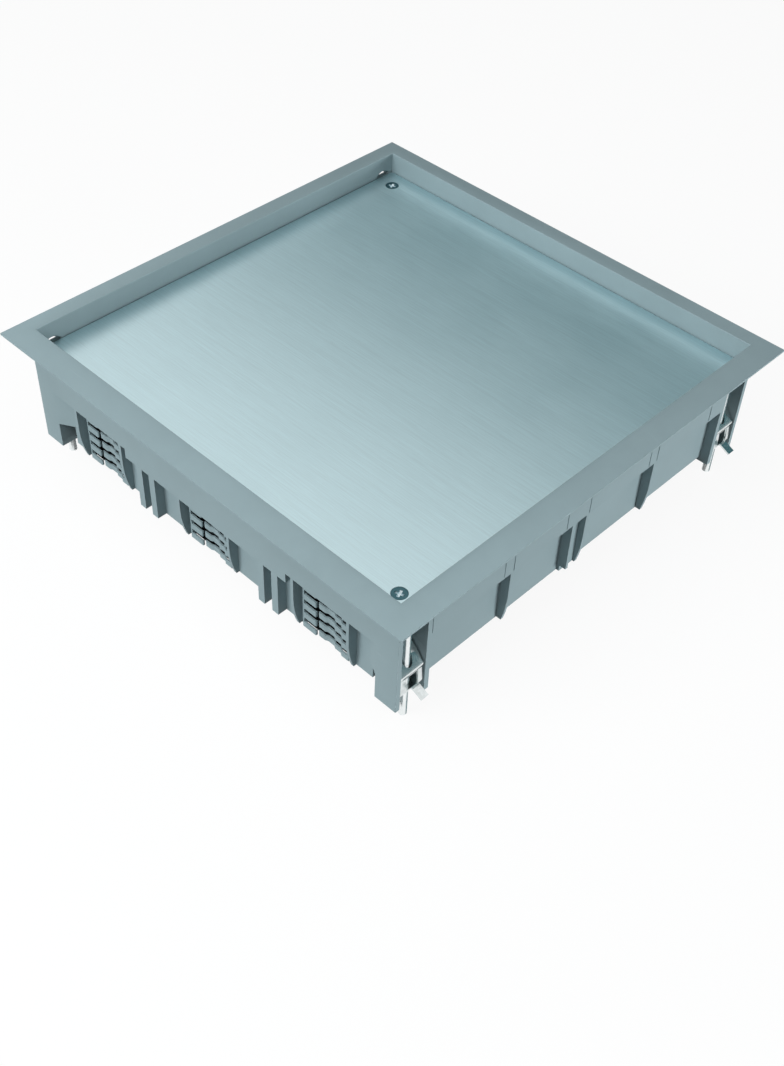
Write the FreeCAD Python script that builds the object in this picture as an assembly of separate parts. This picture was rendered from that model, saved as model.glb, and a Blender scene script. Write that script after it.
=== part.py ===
import FreeCAD, Part
import math
import os

from FreeCAD import Vector

# Square floor box cover: a moulded frame with a trim flange, a steel cover plate
# screwed down in its recess, and four screw-driven steel claws that grip the floor.
# Frame of the model: millimetres, +Z up, origin at the bottom centre of the whole
# object, which stands on the tips of its four clamp screws. The moulded frame's
# levels are measured from the thin outer edge of its flange, called edge_z.

# Flange and recess
flange_reach = 9.8           # how far the trim flange reaches beyond the body
flange_edge = 0.9            # thickness of the flange at its outer edge
flange_rise = 2.65           # height of the rim's top above the flange's edge
flange_bulge = 0.58          # share of the rise reached half way up the domed slope
rim_flat = 1.5               # flat at the top of the rim
rim_round = 0.35             # rounding of the rim's inner edge
recess_depth = 11.15         # from the rim's top down to the cover plate

# Moulded body
body_half = 122.2            # half the width of the body, which enters the floor
wall = 2.4                   # moulded wall
wall_set = 5.0               # how far the lower walls stand back from the band
wall_drop = 59.5             # lower edge of the walls, below the flange's edge
foot_drop = 62.4             # lower edge of the corner legs
ledge_width = 11.0           # the ledge that carries the cover plate
ledge_thick = 2.5            # thickness of that ledge

# Band round the top of the body
comb_band_drop = 34.5        # lower edge of the band in the middle of the comb sides
comb_band_end_drop = 29.0    # lower edge of the band at their ends
comb_band_step = 21.0        # from an outer comb's middle to the deeper, middle stretch
plain_band_drop = 28.0       # lower edge of the band on the plain sides

# Cable combs, three on each comb side
comb_margin = 8.3            # from the slanted panel to the nearest fin
comb_half = 14.2             # half the width of a comb between its edges
comb_edge = 0.8              # solid strip at each end of a comb's gaps
comb_sheet = 1.5             # thickness of a comb's slats
slat_pitch = 6.0
slat_gap = 2.1               # open gap between two slats
slat_top_gap = 37.0          # middle of the highest gap, below the flange's edge
comb_folds = (-5.7, -0.7, 4.4, 9.2)                  # where a comb folds, across it
comb_depths = (1.3, 0.3, -0.4, 0.4, 1.3)             # each column, proud of the wall
comb_ramp = 1.4              # width of the slope at a fold
comb_groove = 1.0            # width and depth of the upright groove beside the first fold
comb_groove_depth = 0.4

# Fins and posts
fin_thick = 1.6
fin_reach = 17.0             # from a comb's middle to the fin beside it
fin_straight_drop = 42.0     # down to here the fin's edge is straight
fin_curve = 0.28             # share of the curve-back reached half way down
comb_fin_tip = 3.4           # how far the tip of a comb's fin has curved back
rib_tip = 2.3                # the same for a rib of the plain sides
post_width = 4.0
post_pitch = 9.0
post_pair_out = 4.0          # how much nearer the posts stand to the outer comb
post_pair_shift = 1.2
rib_insets = (69.9, 72.7)    # single ribs of a plain side, from the body's edges
twin_rib_place = -10.4       # the straight rib of the pair in the middle
twin_rib_pitch = 9.8
twin_web_set = 3.4           # the web between them, back from the band
twin_rib_drop = 56.0
twin_gap = 0.5               # how far the pair's parts reach up behind the band
pad_width = 4.5              # raised pads on the band, on both sides of each rib
pad_end = 10.5               # and at the band's ends
pad_proud = 0.25
pad_margin = 1.0             # from the pad down to the band's lower edge

# Clamp pockets, two on each plain side
pocket_depth = 10.6          # from the body's face to the pocket's back
pocket_wall = 1.8            # thickness of the pocket's back
pocket_width = 14.8          # between the pocket's sides
pocket_slot = 1.2            # open slot between the pocket's back and inner leg
pocket_lip = 0.8             # how far the back stops short of the inner leg's face
inner_leg_thick = 2.7
slant_run = 8.5              # slanted panel from the corner leg to the comb wall
slant_drop = 48.0
seat_drop = 14.8             # the shelf under the clamp screw's head
seat_thick = 2.4

# Clamp screws
screw_set = 4.8              # axis of a clamp screw, back from the body's face
screw_radius = 2.0
screw_length = 60.6          # below the head
screw_tip = 0.6              # chamfer of the tip
screw_head_radius = 3.5
screw_head_height = 2.9
screw_hole_clearance = 0.3
screw_head_curve = 0.45      # share of the head's height that is rounded
access_radius = 6.0          # driver's hole above the head
access_skin = 0.9            # wall left between that hole and the body's face
access_rise = 5.6            # top of the arched opening, below the flange's edge
cross_width = 1.0            # cross recess in a screw's head
cross_reach = 2.2
cross_depth = 1.8
cross_foot = 0.45            # length of the recess at its floor, as a share of its top
cross_foot_width = 0.6       # and its width
cross_turn = 20.0            # how far the crosses are turned

# Claws, bent from steel strip
sheet = 1.0
claw_side_gap = 0.7          # between a claw and each side of its pocket
claw_nose_set = 0.5          # face of the claw, back from the body's face
claw_arm_top = 35.0          # highest edge of the arm, below the flange's edge
claw_arm_back = 8.4          # same edge, back from the body's face
claw_bend = 44.4             # the bend between the arm and the face
claw_arm_knee = 0.55         # share of the arm's run where its slope steepens
claw_knee_drop = 3.3         # from the arm's top edge down to there
claw_nose_back = 0.6         # the face's slight set-back below the bend
claw_nose_drop = 2.0
claw_base = 56.0             # underside of the threaded foot
claw_foot_back = 9.4         # rear edge of the foot
claw_hole_radius = 2.9       # hole in the arm, round the screw
claw_window_width = 7.0
claw_window_height = 7.6
claw_window_shift = 0.6      # the window's middle, sideways from the screw
claw_window_drop = 2.2       # from the bend down to the window
claw_thread_clearance = 0.06
claw_collar_radius = 3.4     # drawn collar that carries the thread
claw_collar_height = 2.4
prong_width = 4.2
prong_reach = 5.0            # beyond the body's face
prong_fall = 2.6             # how far its tip drops below the foot
prong_edge = 1.6             # from the prong to the claw's edge
prong_root = 2.0             # overlap of the prong and the foot

# Cover plate and its two countersunk screws
plate_gap = 0.6              # round the plate's edge
plate_thick = 2.0
plate_corner = 1.5
cover_screw_inset = 13.2     # from the body's faces to a cover screw's axis
cover_screw_radius = 2.0
cover_screw_length = 8.0
cover_head_radius = 3.7
cover_head_sink = 0.1        # the heads lie this far below the plate
cover_head_edge = 0.2        # cylindrical edge of a head
cover_head_chamfer = 0.1
cover_screw_point = 0.5      # chamfer of the point
cover_hole_clearance = 0.25
cover_seat_clearance = 0.05
boss_radius = 4.6
boss_height = 8.0
boss_floor = 1.0             # solid floor of the boss
boss_web = 7.0               # reach of the ledge's corner web round the boss
thread_clearance = 0.04
join = 1.0                   # overlap of pieces moulded together

# Levels and planes worked out from the sizes above
tip_drop = seat_drop + screw_length
edge_z = tip_drop
flange_half = body_half + flange_reach
recess_half = body_half - wall
wall_face = body_half - wall_set
plate_top = flange_rise - recess_depth
plate_half = recess_half - plate_gap
ledge_top = plate_top - plate_thick
ledge_half = recess_half - ledge_width
pocket_far = recess_half
pocket_near = pocket_far - pocket_width
pocket_middle = (pocket_far + pocket_near) / 2
pocket_back = body_half - pocket_depth
leg_edge = pocket_back - pocket_wall
slant_end = leg_edge - slant_run
screw_x = body_half - screw_set
cover_screw_place = body_half - cover_screw_inset
comb_pitch = slant_end - comb_margin - fin_reach
comb_band_half = comb_pitch - comb_band_step
post_pair_place = comb_pitch / 2 + post_pair_out
rib_places = (rib_insets[0] - body_half, body_half - rib_insets[1])
ledge_low = ledge_top - ledge_thick


def box(x0, x1, y0, y1, z0, z1):
    """Box between two corners, its heights measured from the flange's edge."""
    return Part.makeBox(x1 - x0, y1 - y0, z1 - z0, Vector(x0, y0, z0 + edge_z))


def post(x, y, z0, z1, radius):
    """Upright cylinder between two heights."""
    return Part.makeCylinder(radius, z1 - z0, Vector(x, y, z0 + edge_z))


def fused(shapes):
    """One solid from pieces that meet."""
    whole = shapes[0].multiFuse(shapes[1:])
    return whole.removeSplitter()


def turned(shape, angle):
    """Copy of a shape, turned about the object's upright axis."""
    copy = shape.copy()
    copy.rotate(Vector(0, 0, 0), Vector(0, 0, 1), angle)
    return copy


def polygon_face(points):
    return Part.Face(Part.makePolygon(points + [points[0]]))


def mitred_ring(face):
    """Square ring with mitred corners, from its section at the front side.

    The section lies in the plane x = 0 with its outer edge towards -Y."""
    reach = 2 * flange_half
    side = face.copy()
    side.translate(Vector(-reach, 0, 0))
    side = side.extrude(Vector(2 * reach, 0, 0))
    low = -3 * flange_half
    wedge = polygon_face([Vector(0, 0, low), Vector(-reach, -reach, low), Vector(reach, -reach, low)])
    side = side.common(wedge.extrude(Vector(0, 0, 6 * flange_half)))
    return fused([turned(side, 90 * quarter) for quarter in range(4)])


def flange_section():
    """Flange, recess wall and ledge as one section."""
    def at(out, height):
        return Vector(0, -out, height + edge_z)

    lip_out = recess_half + rim_round
    crest = lip_out + rim_flat
    arc_middle = at((flange_half + crest) / 2, flange_rise * flange_bulge)
    slope = Part.Arc(at(flange_half, 0), arc_middle, at(crest, flange_rise)).toShape()
    corner = rim_round * (1 - math.sqrt(0.5))
    rim = Part.Arc(at(lip_out, flange_rise), at(recess_half + corner, flange_rise - corner),
                   at(recess_half, flange_rise - rim_round)).toShape()
    edges = [
        slope,
        Part.makeLine(at(crest, flange_rise), at(lip_out, flange_rise)),
        rim,
    ]
    outline = [
        at(recess_half, flange_rise - rim_round),
        at(recess_half, ledge_top),
        at(ledge_half, ledge_top),
        at(ledge_half, ledge_low),
        at(body_half, ledge_low),
        at(body_half, -flange_edge),
        at(flange_half, -flange_edge),
        at(flange_half, 0),
    ]
    edges += [Part.makeLine(a, b) for a, b in zip(outline, outline[1:])]
    return Part.Face(Part.Wire(edges))


def fin(place, band_drop, tip_back):
    """Thin fin on the front side: straight edge, then curved back to its tip."""
    back = wall_face - wall / 2
    top_drop = band_drop - wall / 2

    def at(out, drop):
        return Vector(place - fin_thick / 2, -out, edge_z - drop)

    start = at(body_half, fin_straight_drop)
    end = at(body_half - tip_back, wall_drop)
    half_way = at(body_half - tip_back * fin_curve, (fin_straight_drop + wall_drop) / 2)
    edges = [
        Part.makeLine(at(body_half, top_drop), start),
        Part.Arc(start, half_way, end).toShape(),
        Part.makeLine(end, at(back, wall_drop)),
        Part.makeLine(at(back, wall_drop), at(back, top_drop)),
        Part.makeLine(at(back, top_drop), at(body_half, top_drop)),
    ]
    return Part.Face(Part.Wire(edges)).extrude(Vector(fin_thick, 0, 0))


def comb(place):
    """Folded panel of slats, with the gaps cut right through."""
    outline = [Vector(place - comb_half, -wall_face - comb_depths[0], 0)]
    for fold, proud_before, proud_after in zip(comb_folds, comb_depths, comb_depths[1:]):
        outline.append(Vector(place + fold - comb_ramp / 2, -wall_face - proud_before, 0))
        outline.append(Vector(place + fold + comb_ramp / 2, -wall_face - proud_after, 0))
    outline.append(Vector(place + comb_half, -wall_face - comb_depths[-1], 0))
    inside = [point + Vector(0, comb_sheet, 0) for point in reversed(outline)]
    plan = polygon_face(outline + inside)
    plan.translate(Vector(0, 0, edge_z - wall_drop))
    return plan.extrude(Vector(0, 0, wall_drop - slat_top_gap + slat_pitch))


def comb_gaps(place, band_drop):
    """The open gaps of one comb and the groove beside its first fold."""
    cuts = []
    drop = slat_top_gap
    while drop < wall_drop - slat_gap:
        if drop > band_drop:
            cuts.append(box(place - comb_half + comb_edge, place + comb_half - comb_edge,
                            -body_half - join, -wall_face + wall + join,
                            -drop - slat_gap / 2, -drop + slat_gap / 2))
        drop += slat_pitch
    groove_x = place + comb_folds[0] + comb_ramp / 2
    groove_floor = -wall_face - comb_depths[1] + comb_groove_depth
    cuts.append(box(groove_x - comb_groove, groove_x, -body_half, groove_floor,
                    -wall_drop - join, -band_drop))
    return cuts


def comb_band():
    """Band of the front side, with the shelf under it that carries the lower wall."""
    outer = -body_half
    low_in = -wall_face + wall
    middle = comb_band_half
    shelf_top = -comb_band_end_drop + wall
    return [
        box(-body_half, body_half, outer, -recess_half, -comb_band_end_drop, ledge_low),
        box(-middle, middle, outer, -recess_half, -comb_band_drop, -comb_band_end_drop),
        box(-middle, middle, outer, low_in, -comb_band_drop, -comb_band_drop + wall),
        box(-leg_edge, wall - middle, outer, low_in, -comb_band_end_drop, shelf_top),
        box(middle - wall, leg_edge, outer, low_in, -comb_band_end_drop, shelf_top),
        box(-slant_end - wall, slant_end + wall, -wall_face, low_in, -wall_drop, shelf_top),
    ]


def comb_side():
    """Band, lower wall, combs, fins and posts of the front side."""
    low_in = -wall_face + wall
    solids = comb_band()
    windows = []
    panels = []
    gaps = []
    for place in (-comb_pitch, 0, comb_pitch):
        drop = comb_band_end_drop if place else comb_band_drop
        solids.append(fin(place - fin_reach, drop, comb_fin_tip))
        solids.append(fin(place + fin_reach, drop, comb_fin_tip))
        windows.append(box(place - comb_half, place + comb_half, -wall_face, low_in,
                           -wall_drop, -drop))
        panels.append(comb(place))
        gaps += comb_gaps(place, drop)
    for pair in (post_pair_shift - post_pair_place, post_pair_shift + post_pair_place):
        for x in (pair - post_pitch / 2, pair + post_pitch / 2):
            solids.append(box(x - post_width / 2, x + post_width / 2, -body_half, low_in,
                              -wall_drop, -comb_band_drop))
    solids += [slanted_panel(-1), slanted_panel(1)]
    walled = fused(solids).cut(windows[0].multiFuse(windows[1:]))
    return fused([walled] + panels).cut(gaps[0].multiFuse(gaps[1:])).removeSplitter()


def slanted_panel(side):
    """Panel that slants back from a corner leg to the comb wall."""
    plan = polygon_face([
        Vector(side * leg_edge, -body_half, 0),
        Vector(side * slant_end, -wall_face, 0),
        Vector(side * slant_end, -wall_face + wall, 0),
        Vector(side * leg_edge, -body_half + wall, 0),
    ])
    plan.translate(Vector(0, 0, edge_z - slant_drop))
    return plan.extrude(Vector(0, 0, slant_drop - comb_band_end_drop + wall))


def plain_side():
    """Band, lower wall and ribs of a plain side, drawn at the front."""
    outer = -body_half
    low_in = -wall_face + wall
    half = pocket_near - inner_leg_thick
    pair_top = -plain_band_drop + twin_gap
    solids = [
        box(-half, half, outer, -recess_half, -plain_band_drop, ledge_low),
        box(-half, half, outer, low_in, -plain_band_drop, -plain_band_drop + wall),
        box(-half, half, -wall_face, low_in, -wall_drop, -plain_band_drop + wall),
    ]
    for place in rib_places + (twin_rib_place + twin_rib_pitch,):
        solids.append(fin(place, plain_band_drop, rib_tip))
    pads = [(-half, pad_end - half), (half - pad_end, half)]
    ribs = [(rib, rib) for rib in rib_places]
    ribs.append((twin_rib_place, twin_rib_place + twin_rib_pitch))
    for first, last in ribs:
        pads.append((first - fin_thick / 2 - pad_width, first - fin_thick / 2))
        pads.append((last + fin_thick / 2, last + fin_thick / 2 + pad_width))
    for start, end in pads:
        solids.append(box(start, end, outer - pad_proud, outer + wall / 2,
                          -plain_band_drop + pad_margin, -flange_edge))
    left = twin_rib_place - fin_thick / 2
    right = twin_rib_place + twin_rib_pitch
    solids.append(box(left, left + fin_thick, outer, low_in, -twin_rib_drop, pair_top))
    solids.append(box(left, right, outer + twin_web_set, low_in, -wall_drop, pair_top))
    return fused(solids)


def corner_column():
    """Corner leg, pocket back, inner leg and screw seat at the front right corner."""
    leg_in = -body_half + wall
    inner_leg = inner_leg_thick - pocket_near
    solids = [
        box(pocket_back, body_half, -body_half, leg_in, -foot_drop, ledge_low),
        box(leg_edge, pocket_back, -body_half, -pocket_near - pocket_lip, -foot_drop, ledge_low),
        box(pocket_back + pocket_slot, body_half, -pocket_near, inner_leg, -foot_drop, ledge_low),
        box(leg_edge, body_half, -body_half, inner_leg, -seat_drop - seat_thick, ledge_low),
    ]
    return fused(solids)


def screw_access(x, y):
    """Driver's hole over a clamp screw, which opens as an arch in the recess wall."""
    offset = recess_half - screw_x
    rise = -access_rise - plate_top
    chord = math.sqrt(access_radius ** 2 - offset ** 2)
    arch = (chord ** 2 + rise ** 2) / (2 * rise)
    ball = math.sqrt(arch ** 2 + offset ** 2)
    centre = -access_rise - arch
    dome = Part.makeSphere(ball, Vector(x, y, centre + edge_z))
    below = box(x - ball, x + ball, y - ball, y + ball, centre - ball, plate_top)
    reach = body_half - access_skin
    shaft = post(x, y, -seat_drop, plate_top, access_radius)
    shaft = shaft.common(box(-reach, reach, -body_half, body_half, -seat_drop, plate_top))
    hole = post(x, y, -seat_drop - seat_thick, -seat_drop, screw_radius + screw_hole_clearance)
    return dome.cut(below).multiFuse([shaft, hole])


def corner_boss(x, y):
    """Web across a corner of the ledge, with a boss for a cover screw."""
    sx = math.copysign(1, x)
    sy = math.copysign(1, y)
    far = ledge_half + join
    near = ledge_half - boss_web
    plan = polygon_face([
        Vector(sx * far, sy * far, 0),
        Vector(sx * far, sy * near, 0),
        Vector(sx * near, sy * far, 0),
    ])
    plan.translate(Vector(0, 0, edge_z + ledge_low))
    web = plan.extrude(Vector(0, 0, ledge_thick))
    return web.multiFuse([post(x, y, ledge_top - boss_height, ledge_top, boss_radius)])


def frame():
    """The one-piece moulded frame."""
    sides = [comb_side(), turned(comb_side(), 180), turned(plain_side(), 90), turned(plain_side(), -90)]
    corner = corner_column()
    mirrored = corner.mirror(Vector(0, 0, 0), Vector(1, 0, 0))
    corners = [corner, turned(corner, 180), mirrored, turned(mirrored, 180)]
    bosses = []
    cuts = []
    for sx in (-1, 1):
        for sy in (-1, 1):
            x = sx * cover_screw_place
            y = sy * cover_screw_place
            bosses.append(corner_boss(x, y))
            cuts.append(screw_access(sx * screw_x, sy * pocket_middle))
            cuts.append(post(x, y, ledge_top - boss_height + boss_floor, ledge_top,
                             cover_screw_radius + thread_clearance))
    whole = fused([mitred_ring(flange_section())] + sides + corners + bosses)
    return whole.cut(cuts[0].multiFuse(cuts[1:])).removeSplitter()


def rectangle(half_length, half_width, height):
    return Part.makePolygon([
        Vector(-half_length, -half_width, height),
        Vector(half_length, -half_width, height),
        Vector(half_length, half_width, height),
        Vector(-half_length, half_width, height),
        Vector(-half_length, -half_width, height),
    ])


def cross_recess(x, y, top):
    """Tapered cross cut into a screw's head."""
    floor = rectangle(cross_reach * cross_foot, cross_width * cross_foot_width / 2, -cross_depth)
    mouth = rectangle(cross_reach, cross_width / 2, 0)
    arm = Part.makeLoft([floor, mouth], True, True)
    cross = arm.fuse(turned(arm, 90))
    cross = turned(cross, cross_turn)
    cross.translate(Vector(x, y, top + edge_z))
    return cross


def revolved(points, x, y):
    """Solid of revolution about the upright axis through (x, y)."""
    section = polygon_face([Vector(r, 0, z) for r, z in points])
    solid = section.revolve(Vector(0, 0, 0), Vector(0, 0, 1), 360)
    solid.translate(Vector(x, y, edge_z))
    return solid


def clamp_screw(x, y):
    """Clamp screw with a rounded pan head and a chamfered tip."""
    head_top = -seat_drop + screw_head_height
    shaft_low = -seat_drop - screw_length
    shank = revolved([
        (0, -seat_drop + join),
        (screw_radius, -seat_drop + join),
        (screw_radius, shaft_low + screw_tip),
        (screw_radius - screw_tip, shaft_low),
        (0, shaft_low),
    ], x, y)
    head = post(x, y, -seat_drop, head_top, screw_head_radius)
    rim = [edge for edge in head.Edges if abs(edge.BoundBox.ZMin - head_top - edge_z) < 0.01]
    head = head.makeFillet(screw_head_height * screw_head_curve, rim)
    return shank.fuse(head).removeSplitter().cut(cross_recess(x, y, head_top))


def cover_screw(x, y):
    """Countersunk cover screw, flush with the plate."""
    top = plate_top - cover_head_sink
    edge = top - cover_head_edge
    low = top - cover_screw_length
    body = revolved([
        (0, top),
        (cover_head_radius - cover_head_chamfer, top),
        (cover_head_radius, top - cover_head_chamfer),
        (cover_head_radius, edge),
        (cover_screw_radius, edge - cover_head_radius + cover_screw_radius),
        (cover_screw_radius, low + cover_screw_point),
        (cover_screw_radius - cover_screw_point, low),
        (0, low),
    ], x, y)
    return body.cut(cross_recess(x, y, top))


def cover_plate():
    """Flat steel plate with two countersunk holes on one diagonal."""
    plate = box(-plate_half, plate_half, -plate_half, plate_half, ledge_top, plate_top)
    uprights = [edge for edge in plate.Edges if edge.BoundBox.ZLength > plate_thick / 2]
    plate = plate.makeFillet(plate_corner, uprights)
    seat = cover_head_radius + cover_seat_clearance
    hole = cover_screw_radius + cover_hole_clearance
    seat_low = plate_top - cover_head_sink - cover_head_edge
    for side in (-1, 1):
        plate = plate.cut(revolved([
            (0, plate_top + join),
            (seat, plate_top + join),
            (seat, seat_low),
            (hole, seat_low - seat + hole),
            (hole, ledge_top - join),
            (0, ledge_top - join),
        ], side * cover_screw_place, -side * cover_screw_place))
    return plate


def shifted_path(path, shift):
    """The path of a sheet's face in the XZ plane, mitred at the bends."""
    moved = []
    for index, point in enumerate(path):
        before = path[max(index - 1, 0)]
        after = path[min(index + 1, len(path) - 1)]
        run_in = point - before if index else after - point
        run_out = after - point if index < len(path) - 1 else run_in
        normal_in = Vector(-run_in.z, 0, run_in.x).normalize()
        normal_out = Vector(-run_out.z, 0, run_out.x).normalize()
        mitre = (normal_in + normal_out).normalize()
        moved.append(point + mitre * (shift / mitre.dot(normal_out)))
    return moved


def bent_strip(path, y, width):
    """Strip of sheet along a path of its outer face, from y towards +Y."""
    section = polygon_face(path + list(reversed(shifted_path(path, -sheet))))
    section.translate(Vector(0, y, 0))
    return section.extrude(Vector(0, width, 0))


def claw():
    """One claw, at the front right pocket: arm, face, threaded foot and prong."""
    half = (pocket_far - pocket_near) / 2 - claw_side_gap
    y = -pocket_middle

    def at(back, drop):
        return Vector(body_half - back, 0, edge_z - drop)

    nose = claw_nose_set
    strip = bent_strip([
        at(claw_arm_back, claw_arm_top),
        at(claw_arm_back * claw_arm_knee, claw_arm_top + claw_knee_drop),
        at(nose, claw_bend),
        at(nose + claw_nose_back, claw_bend + claw_nose_drop),
        at(nose, claw_base),
        at(claw_foot_back, claw_base),
    ], y - half, 2 * half)
    prong = bent_strip([
        at(nose + prong_root, claw_base),
        at(nose, claw_base),
        at(-prong_reach, claw_base + prong_fall),
    ], y + half - prong_edge - prong_width, prong_width)
    collar = post(screw_x, y, -claw_base - sheet, claw_collar_height - claw_base, claw_collar_radius)
    thread = post(screw_x, y, -tip_drop, -claw_bend - sheet, screw_radius + claw_thread_clearance)
    arm_hole = post(screw_x, y, -claw_bend - sheet, -claw_arm_top, claw_hole_radius)
    window_y = y + claw_window_shift
    window_top = -claw_bend - claw_window_drop
    window = box(screw_x, body_half, window_y - claw_window_width / 2, window_y + claw_window_width / 2,
                 window_top - claw_window_height, window_top)
    body = strip.multiFuse([prong, collar])
    return body.cut(thread.multiFuse([arm_hole, window])).removeSplitter()


def write(name, shape):
    shape.exportStep("parts/" + name + ".step")


os.makedirs("parts", exist_ok=True)
write("frame", frame())
write("cover_plate", cover_plate())
write("cover_screw_front", cover_screw(cover_screw_place, -cover_screw_place))
write("cover_screw_rear", cover_screw(-cover_screw_place, cover_screw_place))

corner_names = {
    (1, -1): "front_right",
    (1, 1): "rear_right",
    (-1, 1): "rear_left",
    (-1, -1): "front_left",
}
first_claw = claw()
for (sx, sy), corner_name in corner_names.items():
    write("clamp_screw_" + corner_name, clamp_screw(sx * screw_x, sy * pocket_middle))
    placed = first_claw.copy()
    if sx * sy > 0:
        placed.translate(Vector(0, 2 * pocket_middle, 0))
    if sx < 0:
        placed.rotate(Vector(0, 0, 0), Vector(0, 0, 1), 180)
    write("claw_" + corner_name, placed)
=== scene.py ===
import math

import bmesh
import bpy
from mathutils import Matrix, Vector


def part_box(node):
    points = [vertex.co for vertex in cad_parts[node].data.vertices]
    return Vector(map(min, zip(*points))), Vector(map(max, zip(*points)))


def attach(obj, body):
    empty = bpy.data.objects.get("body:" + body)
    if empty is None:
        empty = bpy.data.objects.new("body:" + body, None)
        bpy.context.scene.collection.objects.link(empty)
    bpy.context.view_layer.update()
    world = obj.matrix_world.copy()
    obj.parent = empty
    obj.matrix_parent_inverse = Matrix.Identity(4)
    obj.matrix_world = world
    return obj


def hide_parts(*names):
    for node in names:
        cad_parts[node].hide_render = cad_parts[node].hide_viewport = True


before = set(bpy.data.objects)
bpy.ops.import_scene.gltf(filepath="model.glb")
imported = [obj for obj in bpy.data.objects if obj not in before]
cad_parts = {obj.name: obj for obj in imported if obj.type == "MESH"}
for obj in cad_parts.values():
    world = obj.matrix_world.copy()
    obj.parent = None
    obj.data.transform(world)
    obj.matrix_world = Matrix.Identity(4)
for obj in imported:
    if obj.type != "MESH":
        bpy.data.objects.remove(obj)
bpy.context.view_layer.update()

bl_info = {
    "name": "Floor box cover looks",
    "version": (1, 0, 0),
    "blender": (4, 5, 0),
    "location": "3D View > Sidebar > Floor box",
    "description": "Materials, threaded screws, bent claws and a studio for the floor box cover",
    "category": "Object",
}

MM = 0.001
EDGE_Z = 0.0754                    # height of the flange's outer edge, in metres
AXIS = Vector((0, 0, 0))           # foot of the upright axis on which patterns are made

# Corners of the cover, seen from above, as signs of X and Y
CORNERS = {
    "front_right": (1, -1),
    "rear_right": (1, 1),
    "rear_left": (-1, 1),
    "front_left": (-1, -1),
}

# How meshes are made
SHARP_ANGLE = math.radians(32)     # edges that turn by more than this stay sharp
MERGE_DISTANCE = 1e-7              # points nearer than this are one, in metres
CUT_MERGE_DISTANCE = 5e-6          # the same, after one mesh has cut or joined another
THREAD_MERGE_DISTANCE = 2e-6       # the same, at the ends of a thread
ROUND_STEPS = 40                   # straight pieces of a full turn
THREAD_STEPS = 24                  # the same, of a thread
BEND_STEPS = 5                     # straight pieces of a bend in the strip
DOME_STEPS = 6                     # straight pieces of a screw head's round

# Cable combs of the front and rear sides, in mm; drops are measured below the flange's edge
BODY_HALF = 122.2                  # the body's face, from the middle
COMB_FACE = 117.2                  # the wall that the combs stand in
COMB_PLACES = (-76.0, 0.0, 76.0)
COMB_DROP = 59.5                   # lower edge of the slats
CUT_BEHIND = 3                     # how far the cuts reach behind the wall's face
CUT_PAST = 1                       # how far they pass the faces that they open
GAP_DROPS = (37.0, 43.0, 49.0, 55.0)
GAP_REACH = 13.35                  # half the length of a gap
GAP_HEIGHT = 2.7
SLAT_SHEET = 0.8
# Front of the folded slats: place along the comb, and how far it stands proud of the wall
SLAT_FOLDS = ((-13.3, 1.3), (-6.4, 1.3), (-5.0, 0.3), (-1.4, 0.3), (0.0, -0.4),
              (3.7, -0.4), (5.1, 0.4), (8.5, 0.4), (9.9, 1.3), (13.3, 1.3))

# Cross recesses, in mm: half length, width and depth
CLAMP_CROSS = (2.2, 1.0, 1.8)
COVER_CROSS = (2.4, 1.5, 0.85)
CROSS_ABOVE = 0.2                  # how far above the head the cut starts
CROSS_FLOOR_REACH = 0.45           # length of the recess's floor, as a share of its top's
CROSS_FLOOR_HALF = 0.3             # half the floor's width, as a share of its top's width
CROSS_TURNS = (20, 110)            # directions of the two wings, in degrees
# Sides of a tapered box, by its corners: four at one level, then the four at the other
BOX_SIDES = ((3, 2, 1, 0), (4, 5, 6, 7), (0, 1, 5, 4), (1, 2, 6, 5), (2, 3, 7, 6), (3, 0, 4, 7))

# Clamp screws, in mm
SHAFT_RADIUS = 2.0
SHAFT_OVERLAP = 0.2                # how far the shaft reaches up into the head
CLAMP_HEAD_RADIUS = 3.5
CLAMP_HEAD_HEIGHT = 2.9
CLAMP_HEAD_EDGE = 0.15             # bevel of the head's lower edge
CLAMP_HEAD_SIDE = 1.5              # top of the head's straight side, above its seat
CLAMP_HEAD_DOME = 1.4              # height and reach of the round above it
# Places along one pitch of the thread, as shares of it
ROOT_END = 0.15
CREST_START = 0.45
CREST_END = 0.62

# Cover screws, in mm
COVER_HEAD_RADIUS = 3.7
COVER_HEAD_HEIGHT = 1.9            # from the shaft's top to the head's top
COVER_HEAD_EDGE = 0.2              # from the cone's top to the head's top
COVER_HEAD_SOFT = 0.12             # bevel of the rim
COVER_POINT_RADIUS = 1.5           # end of the tapered tip
COVER_POINT_HEIGHT = 0.5           # length of the taper
RECESS_GLINT_BEGINS = 0.05                 # depth below the head's top where the painted reflection in the cross recess begins
RECESS_GLINT_FULL = 0.30                   # depth from which the cross recess is painted fully bright
# bright colour of the cross recess, a painted reflection of the light that its walls catch
RECESS_GLINT_COLOUR = (0.78, 0.90, 0.94, 1.0)

# Claws, in mm, at the front right corner
POCKET_Y = 112.4                   # middle of a pocket, from the body's middle
CLAMP_X = 117.4                    # axis of a clamp screw
CLAW_HALF = 6.7                    # half the strip's width
# The bent strip and its prong: places behind the body's face and below the flange's edge
CLAW_BENDS = ((8.4, 35.0), (4.62, 38.3), (0.5, 44.4), (1.1, 46.4), (0.5, 56.0), (9.4, 56.0))
PRONG_BENDS = ((2.5, 56.0), (0.5, 56.0), (-5.0, 58.6))
PRONG_EDGE = 1.6                   # from the prong to the strip's edge
PRONG_WIDTH = 4.2
FOOT_DROP = 56                     # the foot, below the flange's edge
# Threaded collar: radius, and height above the foot
COLLAR = ((0, -0.9), (3.1, -0.9), (3.4, -0.6), (3.4, 2.1), (3.1, 2.4), (0, 2.4))
# Bores round the screw: lower and upper end, from the flange's edge, and radius
CLAW_BORES = ((-62, -46, 2.06), (-45.4, -34.0, 2.9))
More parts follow.
